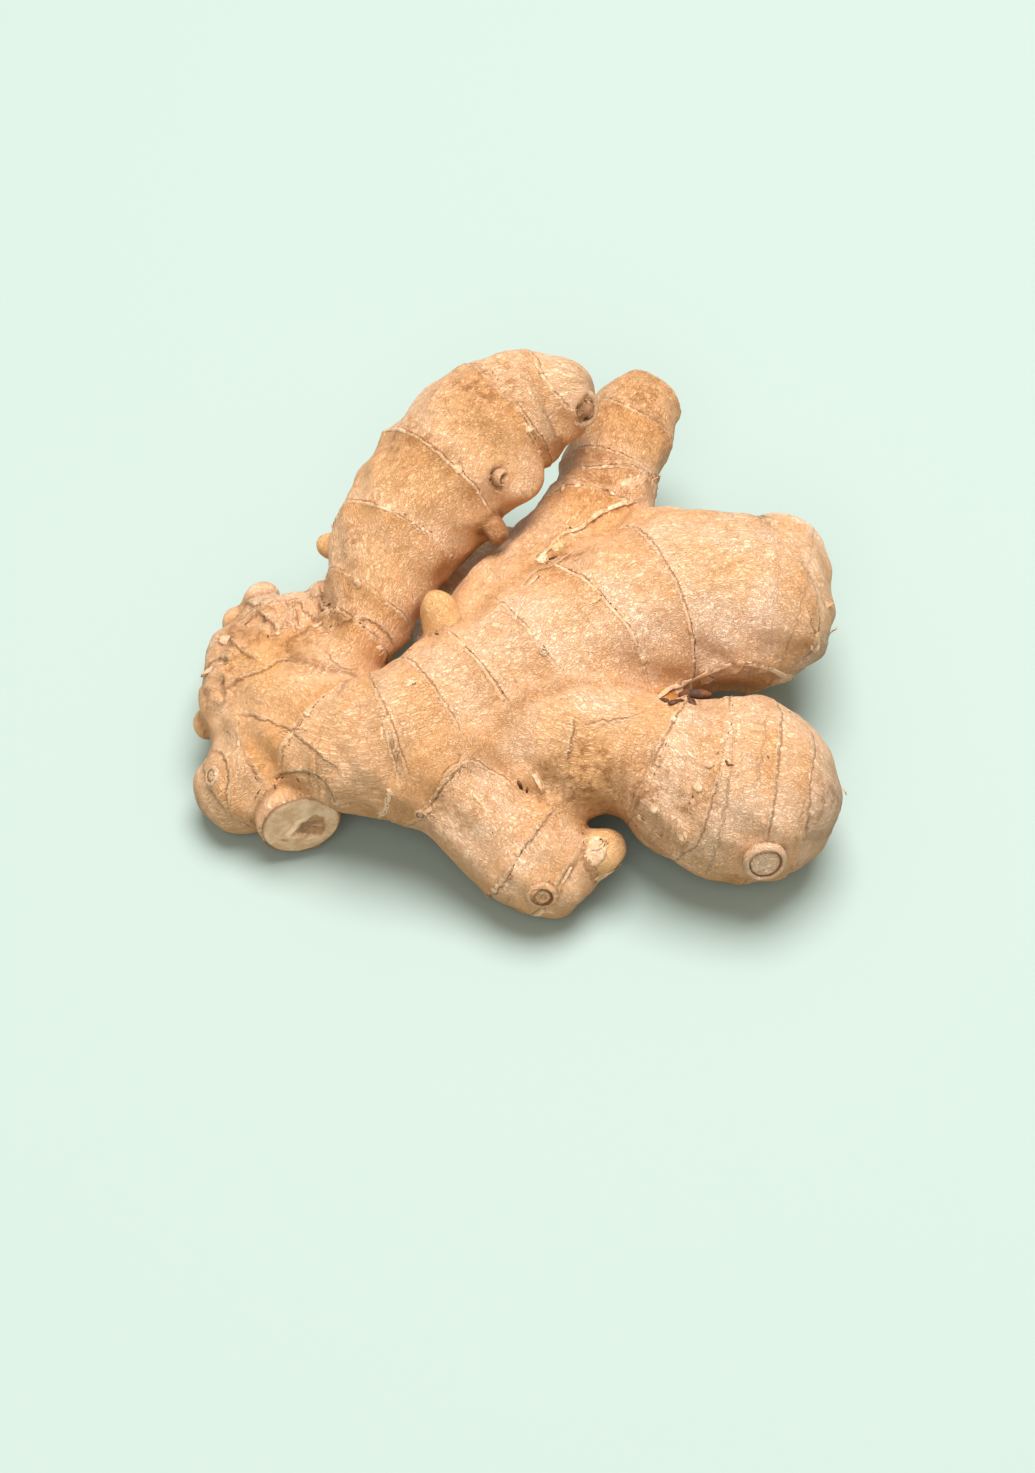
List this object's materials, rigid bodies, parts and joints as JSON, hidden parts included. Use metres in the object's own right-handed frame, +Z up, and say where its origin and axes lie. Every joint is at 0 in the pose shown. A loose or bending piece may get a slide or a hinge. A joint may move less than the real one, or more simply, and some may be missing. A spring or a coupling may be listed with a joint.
{
  "type": "ginger root",
  "caption": "Hand of fresh ginger: fat lobes branching off one another, ringed by sheath scars, with small buds and a cut end.",
  "frame": {"origin": "on the table under the middle of the hand's bounding box", "axes": "+X along the hand, from the cut stub's end to the two large lobes; +Y away from the front lobes, towards the raised finger's tip; +Z up"},
  "size_m": [0.1363, 0.1284, 0.0609],
  "materials": {
    "ginger_skin": "satin, thin papery skin"
  },
  "bodies": {
    "root": {"ginger_root": "ginger_skin"}
  },
  "joints": []
}
